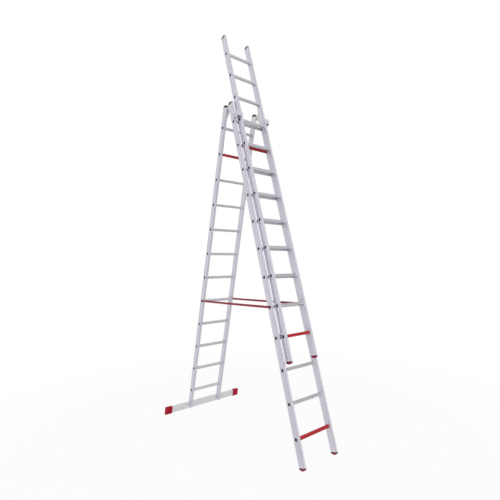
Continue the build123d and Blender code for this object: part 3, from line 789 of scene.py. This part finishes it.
def turnedShell(rows, origin, axis, section, facets=48):
    # rows of (along, radius, across) turned about the axis; a row with flats is cut to the hexagon's radius,
    # half its width over the flats divided by the cosine of the angle from the nearest flat
    rows = np.array([(rows[0][0], 0, 0)] + [tuple(row) for row in rows] + [(rows[-1][0], 0, 0)], float)
    angle = np.arange(facets) * 2 * np.pi / facets
    folded = (angle + np.pi / 6) % (np.pi / 3) - np.pi / 6
    hexagon = np.where(rows[:, 2, None] > 0, rows[:, 2, None] / 2 / np.cos(folded), 1.0)
    radius = np.minimum(rows[:, 1, None], hexagon)
    axis = np.array(axis, float)
    first = np.cross(axis, (0, 0, 1.0))
    second = np.cross(axis, first)
    spokes = np.cos(angle)[:, None] * second + np.sin(angle)[:, None] * first
    points = np.array(origin) + rows[:, 0, None, None] * axis + radius[..., None] * spokes
    return stand(points, section), gridFaces(len(rows), facets, False, True)


strapRung = 5
boltPlaces = {
    "hinge": {"back": 60 * mm, "up": 3262 * mm, "across": 19 * mm, "radius": 6 * mm, "head": 7 * mm,
              "nut": 5.2 * mm, "collar": 1.4 * mm, "collarRadius": 8 * mm, "spacerRadius": 11 * mm},
    "guide": {"back": -19 * mm, "up": (3118 * mm, 3148 * mm), "across": 13 * mm, "radius": 4 * mm,
              "head": 6 * mm, "nut": 5 * mm, "washer": 2 * mm, "washerRadius": 9 * mm},
    "rivet": {"back": 15 * mm, "up": (3269 * mm, 3203 * mm), "radius": 3 * mm, "head": 6 * mm,
              "dome": 3 * mm, "tail": 6.3 * mm},
    "strap": {"up": (strapRung - 1) * rungPitch, "head": 13 * mm, "neck": 5 * mm, "plug": 11.6 * mm,
              "plugDepth": 18 * mm, "key": 7 * mm, "crown": 1.8 * mm},
    "stabiliser": {"up": -187.5 * mm, "across": 17 * mm, "radius": 5 * mm, "head": 6 * mm, "nut": 7 * mm},
    "hook": {"back": 8 * mm, "up": 28 * mm, "across": 15 * mm, "radius": 5 * mm, "head": 5 * mm,
             "washerRadius": 8 * mm, "keeper": 3 * mm},
}
plateThickness = 4 * mm
guideSheet = 3 * mm
washerStand = 1.2 * mm          # hook washer above the stile's outer face
hookSpace = 9.8 * mm            # room for the hook between that face and the keeper
innerFaces = {name: halfWidths[name] - stileThickness for name in sections}


def hingeBolt(place):
    # hexagon head inside the rear plate, spacer between the plates, nut and collar inside the middle stile
    head = innerFaces["rear"] - plateThickness - 0.3 * mm
    nut = innerFaces["middle"]
    nutEnd = nut + place["nut"]
    collarEnd = nutEnd + place["collar"]
    return (hexagonRows(head - place["head"], head, place["across"])
            + discRows(head, head + 0.01 * mm, place["radius"])
            + discRows(innerFaces["rear"] + 0.3 * mm, nut - plateThickness, place["spacerRadius"])
            + [(nut - plateThickness, place["radius"], 0), (nut, place["radius"], 0)]
            + hexagonRows(nut, nutEnd, place["across"])
            + discRows(nutEnd, collarEnd, place["collarRadius"])
            + [(collarEnd, 5.4 * mm, 0), (nut + 5.6 * mm, 5.2 * mm, 0), (nut + 6.2 * mm, 5 * mm, 0)])


def guideBolt(place):
    # nut against the middle stile's inner face, then washer, head and the bolt's end outside the bracket
    nut = innerFaces["middle"]
    outside = halfWidths["middle"] + guideSheet
    radius, across = place["radius"], place["across"]
    nutEnd = nut - place["nut"]
    washerEnd = outside + place["washer"]
    headEnd = washerEnd + place["head"]
    return (threadRows(nutEnd - 1 * mm, nutEnd, radius) + hexagonRows(nutEnd, nut, across)
            + [(nut, radius, 0), (outside, radius, 0)] + discRows(outside, washerEnd, place["washerRadius"])
            + hexagonRows(washerEnd, headEnd, across)
            + threadRows(headEnd, headEnd + 1.6 * mm, radius)
            + [(headEnd + 2 * mm, radius - 0.8 * mm, 0)])


def rivetRows(place, inner):
    # a domed head whose radius falls away as a quarter circle, a shank and a set tail inside the stile
    outside = inner - plateThickness
    turn = np.linspace(0, np.pi / 2, 8)[1:]
    dome = [(outside - place["dome"] * math.cos(a), place["head"] * math.sin(a), 0) for a in turn]
    return dome + [(outside, place["radius"], 0), (inner + 3 * mm, place["radius"], 0),
                   (inner + place["tail"], place["radius"] - 0.4 * mm, 0)]


def strapBolt(place, half):
    # plug in the rung's bore, neck through the strap, and a button head with a hexagon socket; the head's crown
    # is a quarter ellipse from its rim to the socket
    mouth = half - bandDepth + rungShape["lipThickness"]
    head = half + 2.9 * mm
    turn = np.linspace(0, np.pi / 2, 7)
    rim = 5 * mm
    widen = place["head"] - rim
    crown = [(head + 1.2 * mm + place["crown"] * math.sin(a), rim + widen * math.cos(a), 0) for a in turn]
    socket = [(head + 3 * mm, 4.1 * mm, 0), (head + 2.7 * mm, 4.4 * mm, place["key"]),
              (head + 1 * mm, 4.4 * mm, place["key"]), (head + 1 * mm, 3 * mm, 0)]
    plug = discRows(mouth - place["plugDepth"], mouth - 0.5 * mm, place["plug"])
    return (plug + [(mouth - 0.5 * mm, place["neck"], 0), (head, place["neck"], 0)]
            + [(head, place["head"] - 0.4 * mm, 0), (head + 0.4 * mm, place["head"], 0)]
            + crown + socket)


def stabiliserBolt(place):
    # through the stile from front to back, with a hexagon head, a nut and the end of its thread
    half = stileDepth / 2
    radius, across = place["radius"], place["across"]
    return (hexagonRows(-half - place["head"], -half, across) + [(-half, radius, 0), (half, radius, 0)]
            + hexagonRows(half, half + place["nut"], across)
            + threadRows(half + place["nut"], half + 9 * mm, radius))


def hookBolt(place):
    # hexagon head against the extension stile's inner face, then washer and keeper either side of the hook
    inner = innerFaces["extension"] + bandDepth
    outer = halfWidths["extension"]
    washer, washerEnd, keeper = outer - bandDepth, outer + washerStand, outer + hookSpace
    radius = place["radius"]
    return (hexagonRows(inner - place["head"], inner, place["across"])
            + [(inner, radius, 0), (washer, radius, 0)]
            + discRows(washer, washerEnd, place["washerRadius"])
            + [(washerEnd, radius, 0), (keeper, radius, 0)]
            + discRows(keeper, keeper + place["keeper"], place["washerRadius"]))


def acrossBolt(rows, sign, kind, up, section, side=1):
    # a fastener lying across the ladder; side is minus one where it stands in front of the stile's centre
    # line
    return turnedShell(rows, (0, side * boltPlaces[kind].get("back", 0), up), (sign, 0, 0), section)


def hingeSide(sign, section, side):
    rivets = rivetRows(boltPlaces["rivet"], innerFaces[section])
    return [acrossBolt(rivets, sign, "rivet", up, section, side) for up in boltPlaces["rivet"]["up"]]


def strapSide(sign, section):
    bolt = boltPlaces["strap"]
    return acrossBolt(strapBolt(bolt, halfWidths[section]), sign, "strap", bolt["up"], section)


def stabiliserSide(sign):
    place = (sign * (halfWidths["rear"] - stileThickness / 2), 0, boltPlaces["stabiliser"]["up"])
    return turnedShell(stabiliserBolt(boltPlaces["stabiliser"]), place, (0, 1, 0), "rear")


middleBolts, rearBolts, hookBolts, middleStrapBolts, rearStrapBolts = [], [], [], [], []
for _, _, sign in sides:
    guide, hinge, hook = (boltPlaces[kind] for kind in ("guide", "hinge", "hook"))
    middleBolts += [acrossBolt(guideBolt(guide), sign, "guide", up, "middle") for up in guide["up"]]
    middleBolts += hingeSide(sign, "middle", 1)
    middleBolts.append(acrossBolt(hingeBolt(hinge), sign, "hinge", hinge["up"], "middle"))
    middleStrapBolts.append(strapSide(sign, "middle"))
    rearBolts += hingeSide(sign, "rear", -1)
    rearStrapBolts.append(strapSide(sign, "rear"))
    rearBolts.append(stabiliserSide(sign))
    hookBolts.append(acrossBolt(hookBolt(hook), sign, "hook", hook["up"], "extension"))
fasteners = (
    ("middleBolts", middleBolts, "middle_section", "middle_bolts", boltZinc),
    ("middleStrapBolts", middleStrapBolts, "middle_section", "middle_bolts", darkSteel),
    ("rearBolts", rearBolts, "rear_section", "rear_bolts", boltZinc),
    ("rearStrapBolts", rearStrapBolts, "rear_section", "rear_bolts", darkSteel),
    ("hookBolts", hookBolts, "extension_section", "hook_bolts", boltZinc),
)
for name, shells, body, node, steel in fasteners:
    bolts = makePiece(name, shells, steel, sharpAngle=30)
    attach(bolts, body)
    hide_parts(node)
print("fasteners turned")


# pressed plates, brackets and hooks, with their cut edges softened

plateFinish = {"edge": 0.5 * mm, "slot": "zinc_steel", "metal": plateZinc}
bracketFinish = {"edge": 0.6 * mm, "slot": "aluminium_sheet", "metal": bracketShadedMetal}
hookFinish = {"edge": 0.9 * mm, "slot": "zinc_steel", "metal": plateZinc}
pressedParts = {
    "middleHingePlates": dict(plateFinish, node="middle_hinge_plates", body="middle_section"),
    "rearHingePlates": dict(plateFinish, node="rear_hinge_plates", body="rear_section"),
    "guideBracketLeft": dict(bracketFinish, node="guide_bracket_left", body="middle_section"),
    "guideBracketRight": dict(bracketFinish, node="guide_bracket_right", body="middle_section"),
    "rungHookLeft": dict(hookFinish, node="rung_hook_left", body="rung_hook_left"),
    "rungHookRight": dict(hookFinish, node="rung_hook_right", body="rung_hook_right"),
}


def softenedCopy(name, setup):
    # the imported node's own mesh, its flat faces joined up again and its cut edges rounded
    mesh = frame["nodes"][setup["node"]].data.copy()
    mesh.name = name
    for attribute in [a for a in mesh.attributes if a.name == "custom_normal"]:
        mesh.attributes.remove(attribute)
    work = bmesh.new()
    work.from_mesh(mesh)
    bmesh.ops.remove_doubles(work, verts=work.verts, dist=2e-6)
    bmesh.ops.dissolve_limit(work, angle_limit=math.radians(1.0), verts=work.verts, edges=work.edges)
    work.to_mesh(mesh)
    work.free()
    mesh.shade_smooth()
    mesh.materials.clear()
    mesh.materials.append(setup["metal"])
    piece = bpy.data.objects.new(name, mesh)
    bpy.context.scene.collection.objects.link(piece)
    edge = piece.modifiers.new("softEdge", "BEVEL")
    edge.width, edge.segments = setup["edge"], 2
    edge.limit_method, edge.angle_limit = "ANGLE", math.radians(35)
    edge.harden_normals = True
    return piece


for name, setup in pressedParts.items():
    pressed = softenedCopy(name, setup)
    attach(pressed, setup["body"])
    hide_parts(setup["node"])
print("pressed parts softened")


# spreader straps

strapShape = {
    "width": 22 * mm,
    "thickness": 2 * mm,
    "tail": 15 * mm,
    "hole": 5.3 * mm,
    "standOff": 0.6 * mm,       # from the stile's outer face to the strap
    "sag": 1.5 * mm,
    "stitchBox": 26 * mm,       # length of the sewn box beside each bolt
    "stitchGap": 12 * mm,       # from the bolt's hole to the sewn box
    "stitchEdge": 3 * mm,       # from the strap's edge to the sewn box
    "stitchPitch": 3 * mm,
    "stitchRadius": 0.45 * mm,
}


def strapLine(shape, sign, along):
    # centre line by arc length share: straight between the bolts with a slight sag, as a parabola, and
    # straight tails
    anchor = boltPlaces["strap"]["up"]
    half = shape["thickness"] / 2 + shape["standOff"]
    start = stand(np.array([sign * (halfWidths["middle"] + half), 0, anchor]), "middle")
    end = stand(np.array([sign * (halfWidths["rear"] + half), 0, anchor]), "rear")
    span = np.linalg.norm(end - start)
    share = along / span
    points = start + share[:, None] * (end - start)
    points[:, 2] -= shape["sag"] * 4 * np.clip(share * (1 - share), 0, 1)
    return points, span


def strapPiece(name, shape, sign):
    # two half-width sheets that meet on the centre line and part round each bolt; the edge between them
    # follows the hole's circle, the outer edge stays straight, and rows are evenly spread between
    _, span = strapLine(shape, sign, np.zeros(1))
    hole, width = shape["hole"], shape["width"] / 2
    near = -np.cos(np.linspace(0, np.pi, 17)) * hole
    tail = np.linspace(-shape["tail"], -hole - 1.2 * mm, 6)
    between = np.linspace(hole + 1.5 * mm, span - hole - 1.5 * mm, 260)
    along = np.concatenate([tail, near, between, span + near, span - tail[::-1]])
    centre, _ = strapLine(shape, sign, along)
    gap = np.sqrt(np.maximum(hole ** 2 - np.minimum(along ** 2, (along - span) ** 2), 0))
    share = np.linspace(0, 1, 7)
    shells = []
    for half in (-1, 1):
        height = half * (gap[:, None] + (width - gap[:, None]) * share)
        sheet = centre[:, None] + height[..., None] * np.array([0, 0, 1.0])
        quads = gridFaces(len(along), len(share))
        shells.append((sheet, quads if half * sign > 0 else quads[:, ::-1], np.zeros(height.shape)))
    sheet = makePiece(name + "Sheet", shells, webbing, sharpAngle=60, shut=False)
    solid = sheet.modifiers.new("cloth", "SOLIDIFY")
    solid.thickness, solid.offset, solid.use_rim = shape["thickness"], 0.0, True
    soft = sheet.modifiers.new("softEdge", "BEVEL")
    soft.width, soft.segments, soft.limit_method, soft.angle_limit = 0.6 * mm, 2, "ANGLE", math.radians(60)
    mesh = bpy.data.meshes.new_from_object(sheet.evaluated_get(bpy.context.evaluated_depsgraph_get()))
    bpy.data.objects.remove(sheet)
    mesh.name = name
    cloth = mesh.uv_layers.new(name="cloth")
    corners = np.zeros(len(mesh.loops), np.int32)
    mesh.loops.foreach_get("vertex_index", corners)
    spots = np.zeros(len(mesh.vertices) * 3)
    mesh.vertices.foreach_get("co", spots)
    spots = spots.reshape(-1, 3)
    start, _ = strapLine(shape, sign, np.zeros(1))
    flat = np.column_stack([spots[:, 1] - start[0, 1], spots[:, 2] - start[0, 2]])
    cloth.data.foreach_set("uv", flat[corners].astype(np.float32).ravel())
    strap = bpy.data.objects.new(name, mesh)
    bpy.context.scene.collection.objects.link(strap)
    return strap, span


def stitchShells(shape, sign, span):
    # each stitch is a short bead: circles whose radius is the root of one minus the place squared, laid
    # along a run of the sewn box and its cross
    box, pitch, radius = shape["stitchBox"], shape["stitchPitch"], shape["stitchRadius"]
    high = shape["width"] / 2 - shape["stitchEdge"]
    runs = []
    clear = shape["hole"] + shape["stitchGap"]
    for base, way in ((clear, 1), (span - clear, -1)):
        near, far = base, base + way * box
        corners = [(near, -high), (far, -high), (far, high), (near, high),
                   (near, -high), (far, high), (far, -high), (near, high)]
        runs += list(zip(corners[:-1], corners[1:]))
    shells = []
    place = np.linspace(-1, 1, 7)
    turn = np.arange(8) * np.pi / 4
    for (a0, h0), (a1, h1) in runs:
        length = math.hypot(a1 - a0, h1 - h0)
        count = max(int(length / pitch), 1)
        middles = (np.arange(count) + 0.5) / count
        way = np.array([a1 - a0, h1 - h0]) / length
        flatMiddles = np.array([a0, h0]) + middles[:, None] * np.array([a1 - a0, h1 - h0])
        axis = np.array([0, way[0], way[1]])
        side = np.array([0, -way[1], way[0]])
        out = np.array([sign, 0, 0])
        lineStart, _ = strapLine(shape, sign, flatMiddles[:, 0])
        for centre, flat in zip(lineStart, flatMiddles):
            middle = centre + np.array([sign * shape["thickness"] / 2, 0, flat[1]])
            ringRadius = radius * np.sqrt(np.maximum(1 - place ** 2, 0))
            spokes = np.cos(turn)[:, None] * side * 1.1 + np.sin(turn)[:, None] * out
            along = (place * 0.42 * pitch)[:, None, None] * axis
            points = middle + along + ringRadius[:, None, None] * spokes
            shells.append((points, gridFaces(len(place), len(turn), False, True)))
    return shells


threadLook = {
    "darkColour": (0.10, 0.012, 0.02),
    "paleColour": (0.30, 0.05, 0.07),
    "grains": 2500,             # twist grains per metre
}


def sewingThread(name, look):
    # fine noise for the twist, with painted shade in its valleys
    material, tree, shader = newSurface(name, Roughness=0.7, Sheen_Weight=0.3)
    place = addNode(tree, "TexCoord").outputs["Object"]
    twist = noise(tree, place, (look["grains"],) * 3, (0, 0, 0), 2.0, 0.6)
    # painted shade: the twist's valleys take the dark colour
    colour = mixColour(tree, twist, look["darkColour"], look["paleColour"])
    tree.links.new(colour, shader.inputs["Base Color"])
    tree.links.new(bump(tree, twist, 0.1 * mm), shader.inputs["Normal"])
    return material


stitchThread = sewingThread("stitchThread", threadLook)
for label, side, sign in sides:
    strap, span = strapPiece(f"spreaderStrap{label}", strapShape, sign)
    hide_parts(f"spreader_strap_{side}")
    sewn = stitchShells(strapShape, sign, span)
    stitches = makePiece(f"strapStitches{label}", sewn, stitchThread, sharpAngle=80)
    ends, _ = strapLine(strapShape, sign, np.array([0.0, span]))
    for piece in (strap, stitches):
        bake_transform(piece, "middle_section", "rear_section", start=tuple(ends[0]), end=tuple(ends[1]))
print("straps woven, length between bolts", round(span, 4), "m")


# floor, light and camera

studio = {
    "floorHalf": 60.0,          # half its side, metres
    "floorColour": (0.80, 0.80, 0.80),
    "nearShare": 0.93,          # how much of the floor's own light hides the shading near the object
    "clearRadius": (2.2, 4.0),  # beyond this the floor is plain white
    "skyForLight": 0.52,        # strength of the sky for the light that the object gathers
    "keyStrength": 0.25,
    "keyAngle": 38.0,
    "keyAim": (-0.28, 0.86, -0.42),
    "fillStrength": 2.2,
    "fillAngle": 60.0,
    "fillAim": (0.72, 0.60, -0.35),
}


def seenWhite(tree):
    # 1 for camera, glossy and transmission rays, 0 for the rest
    path = addNode(tree, "LightPath")
    seen = maths(tree, "MAXIMUM", path.outputs["Is Camera Ray"], path.outputs["Is Glossy Ray"])
    return maths(tree, "MAXIMUM", seen, path.outputs["Is Transmission Ray"])


def floorMaterial(look):
    # pale matt floor that keeps the shadow near the object and fades to plain white with the distance from it
    material = bpy.data.materials.new("paleFloor")
    material.use_nodes = True
    tree = material.node_tree
    tree.nodes.clear()
    place = addNode(tree, "TexCoord").outputs["Object"]
    reach = addNode(tree, "VectorMath", links={0: place}, operation="LENGTH").outputs["Value"]
    share = remap(tree, reach, *look["clearRadius"], look["nearShare"], 1.0)
    matt = addNode(tree, "BsdfDiffuse", {"Color": (*look["floorColour"], 1.0)})
    glow = addNode(tree, "Emission", {"Color": (1, 1, 1, 1), "Strength": 1.0})
    mixed = addNode(tree, "MixShader", links={0: maths(tree, "MULTIPLY", share, seenWhite(tree)),
                                              1: matt.outputs[0], 2: glow.outputs[0]})
    out = addNode(tree, "OutputMaterial")
    tree.links.new(mixed.outputs[0], out.inputs["Surface"])
    return material


def sun(name, strength, spread, aim):
    lamp = bpy.data.lights.new(name, "SUN")
    lamp.energy, lamp.angle = strength, math.radians(spread)
    holder = bpy.data.objects.new(name, lamp)
    bpy.context.scene.collection.objects.link(holder)
    way = np.array(aim) / np.linalg.norm(aim)
    holder.rotation_euler = (math.acos(-way[2]), 0, math.atan2(-way[0], way[1]))


reach = studio["floorHalf"]
floorMesh = bpy.data.meshes.new("floor")
floorMesh.from_pydata([(-reach, -reach, 0), (reach, -reach, 0), (reach, reach, 0), (-reach, reach, 0)],
                      [], [(0, 1, 2, 3)])
floorMesh.materials.append(floorMaterial(studio))
floor = bpy.data.objects.new("floor", floorMesh)
bpy.context.scene.collection.objects.link(floor)

sun("keyLight", studio["keyStrength"], studio["keyAngle"], studio["keyAim"])
sun("fillLight", studio["fillStrength"], studio["fillAngle"], studio["fillAim"])

world = bpy.data.worlds.new("studio")
world.use_nodes = True
bpy.context.scene.world = world
sky = world.node_tree
background = sky.nodes["Background"]
background.inputs["Color"].default_value = (1, 1, 1, 1)
skyLevel = remap(sky, seenWhite(sky), 0.0, 1.0, studio["skyForLight"], 1.0)
sky.links.new(skyLevel, background.inputs["Strength"])

cameraSetup = {
    "place": (-2.4529, -3.1053, 1.6479),
    "heading": 38.854,          # degrees clockwise from +Y, seen from above
    "tilt": 3.312,
    "roll": -1.427,
    "lens": 26.34,
    "sensor": 36.0,             # both in millimetres
}
camera = bpy.data.objects.new("camera", bpy.data.cameras.new("camera"))
bpy.context.scene.collection.objects.link(camera)
heading, tilt, roll = (math.radians(cameraSetup[key]) for key in ("heading", "tilt", "roll"))
forward = np.array([math.sin(heading) * math.cos(tilt), math.cos(heading) * math.cos(tilt), math.sin(tilt)])
level = np.array([math.cos(heading), -math.sin(heading), 0.0])
upright = np.cross(level, forward)
right = level * math.cos(roll) + upright * math.sin(roll)
up = upright * math.cos(roll) - level * math.sin(roll)
matrix = np.eye(4)
matrix[:3, 0], matrix[:3, 1], matrix[:3, 2], matrix[:3, 3] = right, up, -forward, cameraSetup["place"]
camera.matrix_world = Matrix(matrix.tolist())
camera.data.sensor_width = cameraSetup["sensor"]
camera.data.lens = cameraSetup["lens"]
bpy.context.scene.camera = camera
bpy.context.scene.view_settings.view_transform = "Standard"
print("studio ready")
